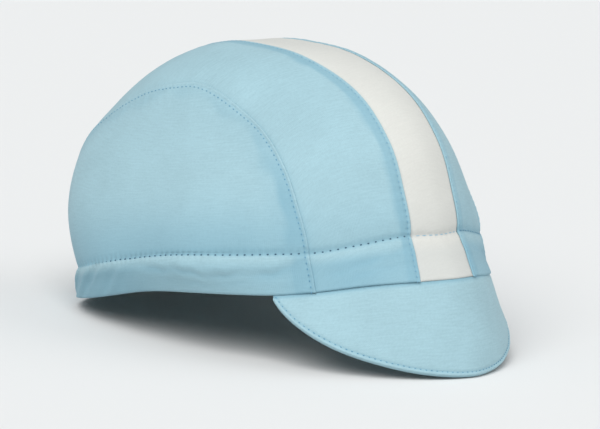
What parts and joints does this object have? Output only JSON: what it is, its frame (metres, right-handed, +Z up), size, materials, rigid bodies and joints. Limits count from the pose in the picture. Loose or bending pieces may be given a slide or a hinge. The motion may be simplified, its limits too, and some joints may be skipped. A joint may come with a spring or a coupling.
{
  "type": "three panel cap",
  "caption": "Soft round cloth cap sewn from side panels and a striped centre strip, with a short peak that bends down.",
  "frame": {"origin": "middle of the footprint, on the surface that the cap rests on", "axes": "+Z up, -Y towards the front of the cap, +X towards the wearer's left"},
  "size_m": [0.164, 0.218, 0.125],
  "materials": {
    "sky_blue_jersey": "matt fine knitted cotton, light sky blue with a faint slub",
    "off_white_jersey": "matt fine knitted cotton, off-white"
  },
  "bodies": {
    "root": {"side_panel_right": "sky_blue_jersey", "side_panel_left": "sky_blue_jersey", "crown_strip_right": "sky_blue_jersey", "crown_strip_left": "sky_blue_jersey", "centre_stripe": "off_white_jersey", "peak": "sky_blue_jersey"}
  },
  "joints": []
}
